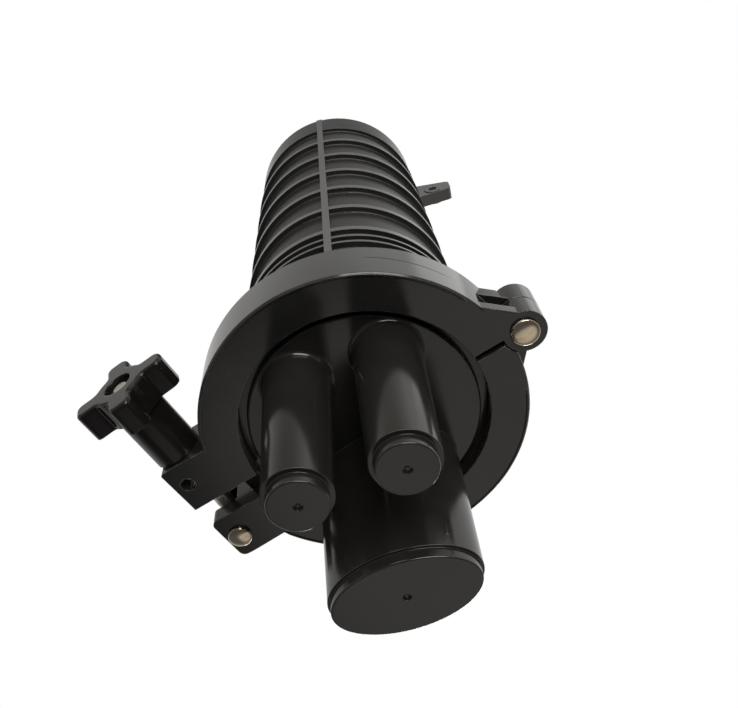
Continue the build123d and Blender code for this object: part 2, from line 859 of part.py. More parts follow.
# Cable anchors: angle plates on the foot, to which each cable's strength member is tied
for number, (x, edge, way) in enumerate(anchor_places, start=1):
    with BuildPart() as cable_anchor:
        with BuildSketch(base_level(foot_top_z)):
            with Locations((x, edge - way * anchor_foot / 2)):
                Rectangle(anchor_width, anchor_foot)
            with Locations(anchor_holes[number - 1]):
                Circle(screw_r + screw_fit, mode=Mode.SUBTRACT)
        extrude(amount=sheet)
        with BuildSketch(upright_plane(edge)):
            with Locations((x, foot_top_z + anchor_height / 2)):
                Rectangle(anchor_width, anchor_height)
            with Locations((x, foot_top_z + anchor_height - anchor_width / 2)):
                SlotOverall(anchor_width * 0.6, anchor_eye_r * 1.5, mode=Mode.SUBTRACT)
        extrude(amount=way * sheet)
    finish(cable_anchor, f"cable_anchor_{number}")

with BuildPart() as anchor_screws:
    for place in anchor_holes:
        screw(base_level(foot_top_z + sheet), (place.X, place.Y), 2 * sheet)
finish(anchor_screws, "anchor_screws")

# Tray tower: a moulded stair of two cheeks that carries the tray hinges in front of the bracket
hinge_points = [
    Vector(back + tray_hinge_r, tray_low_z - tray_hinge_drop - tray_hinge_step * n)
    for n, back in enumerate(tray_backs)
]
tower_tip = hinge_points[-1].X + tower_rim
tray_middle = (0, (tray_low_z + tray_high_z) / 2)
holder_width = tray_width - 2 * holder_margin
holder_slots = int(holder_width / holder_slot_pitch)


def side_plane(offset):
    """Upright work plane along the trays' depth: local x is the depth, local y the height."""
    return Plane(
        origin=turned(base_turn, offset),
        x_dir=turned(base_turn + 90),
        z_dir=turned(base_turn),
    )


with BuildPart() as tray_tower:
    with BuildSketch(upright_plane(bracket_face + tower_web)):
        with Locations((0, (tower_low_z + tray_low_z) / 2)):
            Rectangle(tower_inner + 2 * tower_cheek, tray_low_z - tower_low_z)
        with Locations([(side * tower_screw_x, tower_screw_z) for side in (-1, 1)]):
            Circle(screw_r + screw_fit, mode=Mode.SUBTRACT)
    extrude(amount=tower_web)
    for side in (-1, 1):
        with BuildSketch(side_plane(side * (tower_inner + tower_cheek) / 2)):
            with BuildLine():
                Polyline(
                    (bracket_face, tower_low_z),
                    (tower_tip, tower_low_z),
                    (tower_tip, hinge_points[-1].Y + tower_rim),
                    (bracket_face + tower_web, hinge_points[0].Y + tower_rim),
                    (bracket_face, hinge_points[0].Y + tower_rim),
                    close=True,
                )
            make_face()
            with Locations(hinge_points):
                Circle(tray_pin_r + running_fit, mode=Mode.SUBTRACT)
        extrude(amount=tower_cheek / 2, both=True)
finish(tray_tower, "tray_tower")

with BuildPart() as tower_screws:
    for side in (-1, 1):
        head_plane = Plane(
            origin=turned(base_turn + 90, bracket_face + tower_web),
            x_dir=turned(base_turn),
            z_dir=turned(base_turn + 90),
        )
        screw(head_plane, (side * tower_screw_x, -tower_screw_z), tower_web + sheet)
finish(tower_screws, "tower_screws")

with BuildPart() as tray_hinge_pins:
    with BuildSketch(side_plane(-tower_inner / 2 - tower_cheek)):
        with Locations(hinge_points):
            Circle(tray_pin_r)
    extrude(amount=tower_inner + 2 * tower_cheek)
finish(tray_hinge_pins, "tray_hinge_pins")

# Splice trays: shallow moulded dishes, each on its own step of the tower, with a splice holder
for number, (back, point) in enumerate(zip(tray_backs, hinge_points), start=1):
    with BuildPart() as splice_tray:
        with BuildSketch(upright_plane(back)):
            with Locations(tray_middle):
                RectangleRounded(tray_width, tray_length, tray_corner_r)
        extrude(amount=-tray_depth)
        with BuildSketch(upright_plane(back + tray_wall)):
            with Locations(tray_middle):
                RectangleRounded(
                    tray_width - 2 * tray_wall,
                    tray_length - 2 * tray_wall,
                    tray_corner_r - tray_wall,
                )
        extrude(amount=-tray_depth, mode=Mode.SUBTRACT)
        for side in (-1, 1):
            arm_middle = side * (tower_inner / 2 - loose_fit - tray_arm_width / 2)
            with BuildSketch(side_plane(arm_middle)):
                with Locations(point):
                    Circle(tray_hinge_r)
                with Locations((point.X, (point.Y + tray_low_z + tray_wall) / 2)):
                    Rectangle(2 * tray_hinge_r, tray_low_z + tray_wall - point.Y)
                with Locations(point):
                    Circle(tray_pin_r + running_fit, mode=Mode.SUBTRACT)
            extrude(amount=tray_arm_width / 2, both=True)
    finish(splice_tray, f"splice_tray_{number}")

    with BuildPart() as splice_holder:
        holder_middle = tray_low_z + holder_start + holder_length / 2
        with BuildSketch(upright_plane(back + tray_wall)):
            with Locations((0, holder_middle)):
                Rectangle(holder_width, holder_length)
        extrude(amount=-holder_height)
        with BuildSketch(upright_plane(back + tray_wall + holder_height)):
            with Locations((0, holder_middle)):
                with GridLocations(holder_slot_pitch, 1, holder_slots, 1):
                    Rectangle(holder_slot_width, 2 * holder_length)
        extrude(amount=holder_slot_depth, mode=Mode.SUBTRACT)
    finish(splice_holder, f"splice_holder_{number}")

with BuildPart() as tray_cover:
    with BuildSketch(upright_plane(cover_back)):
        with Locations(tray_middle):
            RectangleRounded(tray_width, tray_length, tray_corner_r)
    extrude(amount=-cover_thickness)
finish(tray_cover, "tray_cover")

# Tray strap: a woven band round the bracket and the closed trays
strap_back = bracket_back - loose_fit
strap_front = cover_front + loose_fit
strap_hold_x = tray_width / 2 + loose_fit
strap_low_z = basket_screw_z[-1] + screw_head_r + strap_gap
with BuildPart() as tray_strap:
    with BuildSketch(base_level(strap_low_z)):
        with Locations((0, (strap_back + strap_front) / 2)):
            RectangleRounded(
                2 * (strap_hold_x + strap_thickness),
                strap_front - strap_back + 2 * strap_thickness,
                2 * strap_thickness,
            )
            RectangleRounded(
                2 * strap_hold_x,
                strap_front - strap_back,
                strap_thickness,
                mode=Mode.SUBTRACT,
            )
    extrude(amount=strap_width)
finish(tray_strap, "tray_strap")

# Slack basket: a moulded dish behind the bracket for the spare lengths of loose tube
basket_back = bracket_back - loose_fit - strap_thickness - loose_fit
basket_rear = basket_depth - basket_back
basket_width = 2 * (sqrt(room_r**2 - basket_rear**2) - basket_gap)
spacer_length = bracket_back - basket_back
with BuildPart() as slack_basket:
    basket_length = basket_high_z - basket_low_z
    basket_middle = (0, (basket_low_z + basket_high_z) / 2)
    with BuildSketch(upright_plane(basket_back)):
        with Locations(basket_middle):
            RectangleRounded(basket_width, basket_length, basket_corner_r)
    extrude(amount=basket_depth)
    with BuildSketch(upright_plane(basket_back - basket_wall)):
        with Locations(basket_middle):
            RectangleRounded(
                basket_width - 2 * basket_wall,
                basket_length - 2 * basket_wall,
                basket_corner_r - basket_wall,
            )
    extrude(amount=basket_depth, mode=Mode.SUBTRACT)
    with BuildSketch(upright_plane(bracket_back)):
        with Locations([(0, z) for z in basket_screw_z]):
            Circle(screw_head_r)
    extrude(amount=spacer_length + basket_wall / 2)
    with BuildSketch(upright_plane(bracket_back)):
        with Locations([(0, z) for z in basket_screw_z]):
            Circle(screw_r + screw_fit)
    extrude(amount=spacer_length + 2 * basket_wall, mode=Mode.SUBTRACT)
finish(slack_basket, "slack_basket")

with BuildPart() as basket_screws:
    for z in basket_screw_z:
        screw(
            upright_plane(basket_back - basket_wall),
            (0, z),
            basket_wall + spacer_length + sheet,
        )
finish(basket_screws, "basket_screws")
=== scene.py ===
import math
import random

import bmesh
import bpy
from mathutils import Matrix, Vector


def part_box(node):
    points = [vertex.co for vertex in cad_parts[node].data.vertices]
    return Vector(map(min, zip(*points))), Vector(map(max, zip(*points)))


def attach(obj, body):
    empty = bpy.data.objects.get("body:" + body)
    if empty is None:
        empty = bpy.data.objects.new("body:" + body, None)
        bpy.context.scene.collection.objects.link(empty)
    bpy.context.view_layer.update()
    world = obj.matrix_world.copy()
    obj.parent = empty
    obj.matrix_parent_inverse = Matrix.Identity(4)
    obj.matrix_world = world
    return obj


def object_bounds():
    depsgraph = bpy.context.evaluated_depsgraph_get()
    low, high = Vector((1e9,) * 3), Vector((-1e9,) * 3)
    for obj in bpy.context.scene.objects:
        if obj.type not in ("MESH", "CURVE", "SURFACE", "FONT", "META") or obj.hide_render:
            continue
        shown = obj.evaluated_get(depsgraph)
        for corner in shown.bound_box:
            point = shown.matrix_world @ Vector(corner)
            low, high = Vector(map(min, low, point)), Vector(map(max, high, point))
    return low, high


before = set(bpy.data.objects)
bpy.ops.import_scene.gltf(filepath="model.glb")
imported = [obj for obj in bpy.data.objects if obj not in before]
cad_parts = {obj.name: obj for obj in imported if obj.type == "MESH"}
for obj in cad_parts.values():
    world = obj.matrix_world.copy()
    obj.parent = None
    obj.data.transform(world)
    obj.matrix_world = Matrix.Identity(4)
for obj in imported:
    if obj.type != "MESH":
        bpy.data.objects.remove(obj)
cad_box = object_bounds()

# Port base: one moulding of black filled plastic, with two round ports and an oval one that are
# closed until they are sawn open. The tool leaves a smooth skin with a fine grain, and handling
# leaves hairlines.


def shader_group(name, inputs, outputs):
    """Starts a shader node group with float inputs and the outputs given as (name, kind)."""
    group = bpy.data.node_groups.new(name, "ShaderNodeTree")
    for label, value in inputs:
        socket = group.interface.new_socket(name=label, in_out="INPUT", socket_type="NodeSocketFloat")
        socket.default_value = value
    for label, kind in outputs:
        group.interface.new_socket(name=label, in_out="OUTPUT", socket_type=kind)
    entry = group.nodes.new("NodeGroupInput")
    leave = group.nodes.new("NodeGroupOutput")
    return group, entry, leave


def add(tree, kind, **settings):
    """Adds a node to a tree and sets its plain properties."""
    node = tree.nodes.new(kind)
    for key, value in settings.items():
        setattr(node, key, value)
    return node


def math_node(tree, operation, first, second=None, clamp=False):
    """Adds a math node; each input is a socket or a number."""
    node = add(tree, "ShaderNodeMath", operation=operation, use_clamp=clamp)
    for index, value in enumerate((first, second)):
        if value is None:
            continue
        if isinstance(value, (int, float)):
            node.inputs[index].default_value = value
        else:
            tree.links.new(value, node.inputs[index])
    return node.outputs[0]


def noise(tree, vector, scale, detail=2.0, rough=0.5, distortion=0.0):
    """Adds a noise texture; its scale is a socket or a number."""
    node = add(tree, "ShaderNodeTexNoise")
    tree.links.new(vector, node.inputs["Vector"])
    if isinstance(scale, (int, float)):
        node.inputs["Scale"].default_value = scale
    else:
        tree.links.new(scale, node.inputs["Scale"])
    node.inputs["Detail"].default_value = detail
    node.inputs["Roughness"].default_value = rough
    node.inputs["Distortion"].default_value = distortion
    return node.outputs["Fac"]


def remap(tree, value, low, high, new_low=0.0, new_high=1.0):
    """Stretches a value between two limits and clamps it."""
    node = add(tree, "ShaderNodeMapRange")
    tree.links.new(value, node.inputs["Value"])
    limits = {"From Min": low, "From Max": high, "To Min": new_low, "To Max": new_high}
    for label, number in limits.items():
        node.inputs[label].default_value = number
    return node.outputs["Result"]


def mix_colour(tree, factor, first, second):
    """Mixes two colours, each a socket or an RGB value, by a mask."""
    node = add(tree, "ShaderNodeMix", data_type="RGBA")
    tree.links.new(factor, node.inputs["Factor"])
    for label, value in (("A", first), ("B", second)):
        socket = [s for s in node.inputs if s.name == label and s.type == "RGBA"][0]
        if isinstance(value, tuple):
            socket.default_value = (*value, 1.0)
        else:
            tree.links.new(value, socket)
    return [s for s in node.outputs if s.type == "RGBA"][0]


def make_moulded_skin():
    """Skin left by a mould: a fine grain, and slow clouds of gloss and tone."""
    group, entry, leave = shader_group(
        "moulded_skin",
        [("Grain Scale", 2600.0), ("Cloud Scale", 18.0)],
        [("Grain", "NodeSocketFloat"), ("Cloud", "NodeSocketFloat")],
    )
    place = add(group, "ShaderNodeTexCoord").outputs["Object"]
    grain = noise(group, place, entry.outputs["Grain Scale"], detail=3.0, rough=0.6)
    cloud = noise(group, place, entry.outputs["Cloud Scale"], detail=5.0, rough=0.62, distortion=0.6)
    group.links.new(grain, leave.inputs["Grain"])
    group.links.new(remap(group, cloud, low=0.3, high=0.7), leave.inputs["Cloud"])
    return group


def make_worn_edges():
    """Rounded and rubbed edges: a softened normal, and a broken mask along every edge."""
    group, entry, leave = shader_group(
        "worn_edges",
        [("Width", 0.0008)],
        [("Rounded", "NodeSocketVector"), ("Edge", "NodeSocketFloat")],
    )
    bevel = add(group, "ShaderNodeBevel", samples=8)
    group.links.new(entry.outputs["Width"], bevel.inputs["Radius"])
    normal = add(group, "ShaderNodeNewGeometry").outputs["Normal"]
    dot = add(group, "ShaderNodeVectorMath", operation="DOT_PRODUCT")
    group.links.new(bevel.outputs["Normal"], dot.inputs[0])
    group.links.new(normal, dot.inputs[1])
    turn = math_node(group, "SUBTRACT", 1.0, dot.outputs["Value"], clamp=True)
    place = add(group, "ShaderNodeTexCoord").outputs["Object"]
    patches = noise(group, place, scale=160.0, detail=4.0, rough=0.65)
    broken = remap(group, patches, low=0.42, high=0.66, new_low=0.15)
    edge = math_node(group, "MULTIPLY", remap(group, turn, low=0.01, high=0.16), broken, clamp=True)
    group.links.new(bevel.outputs["Normal"], leave.inputs["Rounded"])
    group.links.new(edge, leave.inputs["Edge"])
    return group


def make_hairlines():
    """Hairline scratches from handling, in two directions and in patches."""
    group, entry, leave = shader_group(
        "hairlines",
        [("Scale", 40.0), ("Stretch", 6.0)],
        [("Scratch", "NodeSocketFloat")],
    )
    directions, line_half = (0.35, 1.9), 0.006
    place = add(group, "ShaderNodeTexCoord").outputs["Object"]
    lines = None
    for turn in directions:
        turned = add(group, "ShaderNodeVectorRotate", rotation_type="EULER_XYZ")
        group.links.new(place, turned.inputs["Vector"])
        turned.inputs["Rotation"].default_value = (turn, turn * 0.7, turn * 1.3)
        squeezed = add(group, "ShaderNodeVectorMath", operation="MULTIPLY")
        group.links.new(turned.outputs["Vector"], squeezed.inputs[0])
        widths = add(group, "ShaderNodeCombineXYZ")
        widths.inputs["X"].default_value = 1.0
        group.links.new(entry.outputs["Stretch"], widths.inputs["Y"])
        group.links.new(entry.outputs["Stretch"], widths.inputs["Z"])
        group.links.new(widths.outputs["Vector"], squeezed.inputs[1])
        stretched = squeezed.outputs["Vector"]
        wave = noise(group, stretched, entry.outputs["Scale"], detail=1.0, rough=0.4, distortion=0.2)
        off_line = math_node(group, "ABSOLUTE", math_node(group, "SUBTRACT", wave, 0.5))
        line = remap(group, off_line, low=0.0, high=line_half, new_low=1.0, new_high=0.0)
        lines = line if lines is None else math_node(group, "MAXIMUM", lines, line)
    patches = remap(group, noise(group, place, scale=26.0, detail=3.0), low=0.52, high=0.68)
    group.links.new(math_node(group, "MULTIPLY", lines, patches), leave.inputs["Scratch"])
    return group


moulded_skin = make_moulded_skin()
worn_edges = make_worn_edges()
hairlines = make_hairlines()


def place_group(tree, group, **values):
    """Places a node group in a material with its own values."""
    node = add(tree, "ShaderNodeGroup", node_tree=group)
    for key, value in values.items():
        node.inputs[key.replace("_", " ").title()].default_value = value
    return node


def new_material(name):
    """Starts a material with its Principled shader."""
    material = bpy.data.materials.new(name)
    material.use_nodes = True
    tree = material.node_tree
    shader = tree.nodes["Principled BSDF"]
    return material, tree, shader


def bump(tree, shader, height, strength, distance, normal=None):
    """Feeds a height into the shader's normal, over a softened normal where one is given."""
    node = add(tree, "ShaderNodeBump")
    node.inputs["Strength"].default_value = strength
    node.inputs["Distance"].default_value = distance
    tree.links.new(height, node.inputs["Height"])
    if normal is not None:
        tree.links.new(normal, node.inputs["Normal"])
    tree.links.new(node.outputs["Normal"], shader.inputs["Normal"])


scratch_pale, scratch_matt, grain_strength = 0.18, 0.05, 0.35


def moulded_plastic(name, deep, pale, worn, gloss, edge_width, grain=2600.0, grain_depth=0.00003, rub=0.5):
    """Moulded plastic: two close tones in clouds, paler rubbed edges, grain and hairlines."""
    material, tree, shader = new_material(name)
    skin = place_group(tree, moulded_skin, grain_scale=grain, cloud_scale=22.0)
    edges = place_group(tree, worn_edges, width=edge_width)
    lines = place_group(tree, hairlines, scale=34.0, stretch=7.0)
    tone = mix_colour(tree, skin.outputs["Cloud"], deep, pale)
    rubbed = math_node(tree, "MULTIPLY", edges.outputs["Edge"], rub)
    tone = mix_colour(tree, rubbed, tone, worn)
    scratched = math_node(tree, "MULTIPLY", lines.outputs["Scratch"], scratch_pale * rub)
    tree.links.new(mix_colour(tree, scratched, tone, worn), shader.inputs["Base Color"])
    rough = remap(tree, skin.outputs["Cloud"], 0.0, 1.0, *gloss)
    dulled = math_node(tree, "MULTIPLY", lines.outputs["Scratch"], scratch_matt)
    tree.links.new(math_node(tree, "ADD", rough, dulled), shader.inputs["Roughness"])
    bump(tree, shader, skin.outputs["Grain"], grain_strength, grain_depth, edges.outputs["Rounded"])
    return material


def dress(material, *names):
    """Gives CAD nodes their material."""
    for name in names:
        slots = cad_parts[name].data.materials
        slots.clear()
        slots.append(material)


base_plastic = moulded_plastic(
    "base_plastic",
    deep=(0.0115, 0.0109, 0.01),
    pale=(0.0165, 0.0155, 0.0143),
    worn=(0.05, 0.049, 0.046),
    gloss=(0.11, 0.18),
    edge_width=0.0007,
)
dress(base_plastic, "port_base")

# Sprue stubs: where the runner was twisted off, a ragged nib of the base's own plastic stays in the
# dimple of each port end. Each is a short torn cone on the dimple's floor.
base_turn = math.radians(12.65)
port_places = ((-0.02574, -0.03544), (0.02574, -0.03544), (0.0, 0.0378))
stub_radius, stub_height, stub_taper, dimple_floor = 0.0012, 0.0011, 0.45, 0.0014
stub_tear, stub_ragged = 0.18, (-0.2, 0.1)
rng = random.Random(7)


def join_loops(shape, loops):
    """Joins neighbouring loops of points with quads, and closes the first loop with a cap."""
    for lower, upper in zip(loops, loops[1:]):
        sides = len(lower)
        for side in range(sides):
            after = (side + 1) % sides
            shape.faces.new((lower[side], upper[side], upper[after], lower[after]))
    shape.faces.new(loops[0])


def finished_piece(name, shape, smooth, material, body):
    """Turns a built shape into a piece with its material, which rides on a body."""
    bmesh.ops.recalc_face_normals(shape, faces=shape.faces)
    for face in shape.faces:
        face.smooth = smooth
    mesh = bpy.data.meshes.new(name)
    shape.to_mesh(mesh)
    shape.free()
    mesh.materials.append(material)
    piece = bpy.data.objects.new(name, mesh)
    bpy.context.scene.collection.objects.link(piece)
    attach(piece, body)


def sprue_stub(name, place):
    """Torn cone standing out of a dimple's floor towards the port's end."""
    rings, sides = 4, 12
    shape = bmesh.new()
    loops = []
    for ring in range(rings + 1):
        share = ring / rings
        radius = stub_radius * (1 - stub_taper * share)
        loop = []
        for side in range(sides):
            angle = 2 * math.pi * side / sides
            reach = radius * (1 + rng.uniform(-stub_tear, stub_tear))
            height = dimple_floor - stub_height * share * (1 + rng.uniform(*stub_ragged) * share)
            loop.append(shape.verts.new((reach * math.cos(angle), reach * math.sin(angle), height)))
        loops.append(loop)
    join_loops(shape, loops)
    shape.faces.new(list(reversed(loops[-1])))
    shape.transform(Matrix.Rotation(base_turn, 4, "Z") @ Matrix.Translation((*place, 0.0)))
    finished_piece(name, shape, False, torn_plastic, "closure")


torn_plastic = moulded_plastic(
    "torn_plastic",
    deep=(0.02, 0.02, 0.019),
    pale=(0.06, 0.059, 0.056),
    worn=(0.2, 0.198, 0.19),
    gloss=(0.55, 0.75),
    edge_width=0.0002,
    grain=5200.0,
    grain_depth=0.00012,
    rub=0.9,
)
for number, port_place in enumerate(port_places, start=1):
    sprue_stub(f"sprue_stub_{number}", port_place)

# Tray bracket and cable anchors: folded zinc-plated sheet steel, screwed to the base with
# zinc-plated pan-head screws. The plating is slightly brushed and dulls in clouds.


def make_plating():
    """Plated metal: fine brushed lines and slow tarnish."""
    group, entry, leave = shader_group(
        "plating",
        [("Brush Scale", 900.0), ("Tarnish Scale", 60.0)],
        [("Brush", "NodeSocketFloat"), ("Tarnish", "NodeSocketFloat")],
    )
    brush_run = 0.06
    place = add(group, "ShaderNodeTexCoord").outputs["Object"]
    squeezed = add(group, "ShaderNodeVectorMath", operation="MULTIPLY")
    group.links.new(place, squeezed.inputs[0])
    squeezed.inputs[1].default_value = (1.0, 1.0, brush_run)
    brush = noise(group, squeezed.outputs["Vector"], entry.outputs["Brush Scale"], rough=0.55)
    tarnish = noise(group, place, entry.outputs["Tarnish Scale"], detail=5.0, rough=0.6, distortion=0.8)
    group.links.new(brush, leave.inputs["Brush"])
    group.links.new(remap(group, tarnish, low=0.36, high=0.7), leave.inputs["Tarnish"])
    return group


plating = make_plating()
brush_strength = 0.3


def plated_metal(name, bright, dull, gloss, brush_depth=0.00002, brush=900.0):
    """Plated or turned metal: bright and dulled tones in clouds over brushed lines."""
    material, tree, shader = new_material(name)
    shader.inputs["Metallic"].default_value = 1.0
    finish = place_group(tree, plating, brush_scale=brush, tarnish_scale=110.0)
    edges = place_group(tree, worn_edges, width=0.0004)
    tone = mix_colour(tree, finish.outputs["Tarnish"], bright, dull)
    tree.links.new(mix_colour(tree, edges.outputs["Edge"], tone, bright), shader.inputs["Base Color"])
    dulled = math_node(tree, "MULTIPLY", finish.outputs["Tarnish"], finish.outputs["Brush"])
    tree.links.new(remap(tree, dulled, 0.0, 0.6, *gloss), shader.inputs["Roughness"])
    bump(tree, shader, finish.outputs["Brush"], brush_strength, brush_depth, edges.outputs["Rounded"])
    return material


sheet_steel = plated_metal("sheet_steel", (0.62, 0.63, 0.63), (0.42, 0.43, 0.43), (0.28, 0.46))
screw_steel = plated_metal("screw_steel", (0.64, 0.62, 0.56), (0.4, 0.39, 0.36), (0.22, 0.42))
dress(sheet_steel, "tray_bracket", "cable_anchor_1", "cable_anchor_2", "cable_anchor_3")
dress(screw_steel, "bracket_screws", "anchor_screws", "tower_screws", "basket_screws", "tray_hinge_pins")

# Trays: moulded grey-black dishes that hinge on a tower, and a basket behind the bracket for slack
# tube. The splice holders are pale soft rubber, and the outermost tray has a clear moulded cover.
tray_plastic = moulded_plastic(
    "tray_plastic",
    deep=(0.032, 0.032, 0.033),
    pale=(0.05, 0.05, 0.051),
    worn=(0.16, 0.16, 0.16),
    gloss=(0.34, 0.48),
    edge_width=0.0004,
)
tray_names = [f"splice_tray_{number}" for number in range(1, 5)]
holder_names = [f"splice_holder_{number}" for number in range(1, 5)]
dress(tray_plastic, "tray_tower", "slack_basket", *tray_names)


def soft_rubber(name, deep, pale, gloss, dust):
    """Moulded rubber: matt, slightly mottled, with a paler bloom along its edges."""
    material, tree, shader = new_material(name)
    skin = place_group(tree, moulded_skin, grain_scale=1700.0, cloud_scale=60.0)
    edges = place_group(tree, worn_edges, width=0.0005)
    tone = mix_colour(tree, skin.outputs["Cloud"], deep, pale)
    tree.links.new(mix_colour(tree, edges.outputs["Edge"], tone, dust), shader.inputs["Base Color"])
    tree.links.new(remap(tree, skin.outputs["Grain"], 0.3, 0.7, *gloss), shader.inputs["Roughness"])
    bump(tree, shader, skin.outputs["Grain"], 0.4, 0.00005, edges.outputs["Rounded"])
    return material


holder_rubber = soft_rubber(
    "holder_rubber",
    deep=(0.3, 0.31, 0.31),
    pale=(0.4, 0.41, 0.41),
    gloss=(0.55, 0.75),
    dust=(0.5, 0.5, 0.5),
)
dress(holder_rubber, *holder_names)

cover_clear, cover_cloudy = (0.9, 0.92, 0.92), (0.84, 0.87, 0.87)
cover_gloss, cover_scratch = (0.05, 0.12), 0.3
clear_plastic, tree, shader = new_material("clear_plastic")
shader.inputs["Transmission Weight"].default_value = 1.0
shader.inputs["IOR"].default_value = 1.49
skin = place_group(tree, moulded_skin, grain_scale=900.0, cloud_scale=30.0)
lines = place_group(tree, hairlines, scale=30.0, stretch=8.0)
tone = mix_colour(tree, skin.outputs["Cloud"], cover_clear, cover_cloudy)
tree.links.new(tone, shader.inputs["Base Color"])
rough = remap(tree, skin.outputs["Cloud"], 0.0, 1.0, *cover_gloss)
scratched = math_node(tree, "MULTIPLY", lines.outputs["Scratch"], cover_scratch)
tree.links.new(math_node(tree, "ADD", rough, scratched), shader.inputs["Roughness"])
bump(tree, shader, skin.outputs["Grain"], 0.1, 0.00001)
dress(clear_plastic, "tray_cover")

# Tray strap: a narrow woven band in black polyester, closed round the trays and the bracket. Two
# sets of threads cross in its weave.
thread_deep, thread_pale = (0.012, 0.012, 0.014), (0.06, 0.06, 0.065)
weave_pitch, wave_unit, weave_height = 0.0011, 0.314, 0.0003
strap_fabric, tree, shader = new_material("strap_fabric")
shader.inputs["Roughness"].default_value = 0.8
shader.inputs["Sheen Weight"].default_value = 0.3
place = add(tree, "ShaderNodeTexCoord").outputs["Object"]
threads = []
for direction in ("Z", "DIAGONAL"):
    thread = add(tree, "ShaderNodeTexWave", bands_direction=direction)
    tree.links.new(place, thread.inputs["Vector"])
    thread.inputs["Scale"].default_value = wave_unit / weave_pitch
    thread.inputs["Distortion"].default_value = 0.6
    threads.append(thread.outputs["Fac"])
weave = math_node(tree, "MULTIPLY", *threads)
tree.links.new(mix_colour(tree, weave, thread_deep, thread_pale), shader.inputs["Base Color"])
bump(tree, shader, weave, 0.7, weave_height)
dress(strap_fabric, "tray_strap")

# Seal ring: a moulded black rubber ring with a matt skin, laid in the base's groove and pressed by
# the dome.
seal_rubber = soft_rubber(
    "seal_rubber",
    deep=(0.011, 0.011, 0.011),
    pale=(0.02, 0.02, 0.02),
    gloss=(0.5, 0.68),
    dust=(0.05, 0.05, 0.048),
)
dress(seal_rubber, "seal_ring")

# Dome cover: one tall moulding of the same black plastic, with rings, upright ribs and a hanging
# lug. Its proud faces carry a painted highlight, paler where light falls on the rings and ribs; the
# wall between the rings stays matt, and the band at the closed end is smooth.
dome_plastic = moulded_plastic(
    "dome_plastic",
    deep=(0.0085, 0.0082, 0.0077),
    pale=(0.0135, 0.013, 0.0123),
    worn=(0.07, 0.069, 0.065),
    gloss=(0.25, 0.34),
    edge_width=0.0007,
    rub=0.55,
)
dome_radius, dome_foot, dome_taper = 0.0728, 0.127, 0.0044 / 0.3425
proud_band_depth, proud_highlight_share, proud_highlight_tone = 0.0005, 0.75, (0.085, 0.083, 0.079)
wall_depth, wall_matt = 0.0016, 0.16
band_rise, band_step, band_polish = 0.3061, 0.0004, 0.4


def make_round_place():
    """Place round the upright axis: the reach from it, the turn in radians, and the rise from a foot."""
    group, entry, leave = shader_group(
        "round_place",
        [("Foot", 0.0)],
        [("Reach", "NodeSocketFloat"), ("Turn", "NodeSocketFloat"), ("Rise", "NodeSocketFloat")],
    )
    place = add(group, "ShaderNodeSeparateXYZ")
    group.links.new(add(group, "ShaderNodeTexCoord").outputs["Object"], place.inputs["Vector"])
    squares = [math_node(group, "MULTIPLY", place.outputs[way], place.outputs[way]) for way in "XY"]
    reach = math_node(group, "SQRT", math_node(group, "ADD", *squares))
    turn = math_node(group, "ARCTAN2", place.outputs["Y"], place.outputs["X"])
    rise = math_node(group, "SUBTRACT", place.outputs["Z"], entry.outputs["Foot"])
    for label, value in (("Reach", reach), ("Turn", turn), ("Rise", rise)):
        group.links.new(value, leave.inputs[label])
    return group


round_place = make_round_place()
tree = dome_plastic.node_tree
shader = tree.nodes["Principled BSDF"]
spot = place_group(tree, round_place, foot=dome_foot)
drawn_in = math_node(tree, "MULTIPLY", spot.outputs["Rise"], dome_taper)
outline = math_node(tree, "SUBTRACT", dome_radius, drawn_in)
stand = math_node(tree, "SUBTRACT", spot.outputs["Reach"], outline)
# Painted highlight: the proud faces of the rings and ribs are painted paler, where light falls on them.
proud = remap(tree, stand, -proud_band_depth, 0.0, 0.0, proud_highlight_share)
tone = shader.inputs["Base Color"].links[0].from_socket
tree.links.new(mix_colour(tree, proud, tone, proud_highlight_tone), shader.inputs["Base Color"])
sunk = remap(tree, stand, -proud_band_depth, -wall_depth, 0.0, wall_matt)
rough = math_node(tree, "ADD", shader.inputs["Roughness"].links[0].from_socket, sunk)
below_ribs = math_node(tree, "LESS_THAN", stand, -band_step)
above_rings = math_node(tree, "GREATER_THAN", spot.outputs["Rise"], band_rise)
on_band = math_node(tree, "MULTIPLY", below_ribs, above_rings)
rough = math_node(tree, "MULTIPLY", rough, remap(tree, on_band, 0.0, 1.0, 1.0, band_polish))
tree.links.new(rough, shader.inputs["Roughness"])
dress(dome_plastic, "dome_cover")

# Clamp halves: two stout half rings of glass-filled plastic, glossy from a polished tool and rubbed
# pale along their edges. One shows a flow line on its outer face, and each has a raised bead along
# its front rim.
clamp_plastic = moulded_plastic(
    "clamp_plastic",
    deep=(0.0105, 0.0101, 0.0096),
    pale=(0.0165, 0.0159, 0.0151),
    worn=(0.2, 0.195, 0.185),
    gloss=(0.08, 0.15),
    edge_width=0.0009,
    rub=0.7,
)
flow_from, flow_to, flow_fade = -1.02, -0.42, 0.12
flow_height, flow_climb, flow_width, flow_depth = 0.1101, -0.006, 0.00045, 0.00012
tree = clamp_plastic.node_tree
shader = tree.nodes["Principled BSDF"]
spot = place_group(tree, round_place, foot=flow_height)
turn = spot.outputs["Turn"]
slope = math_node(tree, "MULTIPLY", math_node(tree, "SUBTRACT", turn, flow_to), flow_climb)
off_line = math_node(tree, "ABSOLUTE", math_node(tree, "SUBTRACT", spot.outputs["Rise"], slope))
flow_line = remap(tree, off_line, 0.0, flow_width, 1.0, 0.0)
for end, fade in ((flow_from, flow_fade), (flow_to, -flow_fade)):
    flow_line = math_node(tree, "MULTIPLY", flow_line, remap(tree, turn, end, end + fade))
face_level = math_node(tree, "SUBTRACT", 1.0, flow_line)
bump(tree, shader, face_level, 0.8, flow_depth, shader.inputs["Normal"].links[0].from_socket)
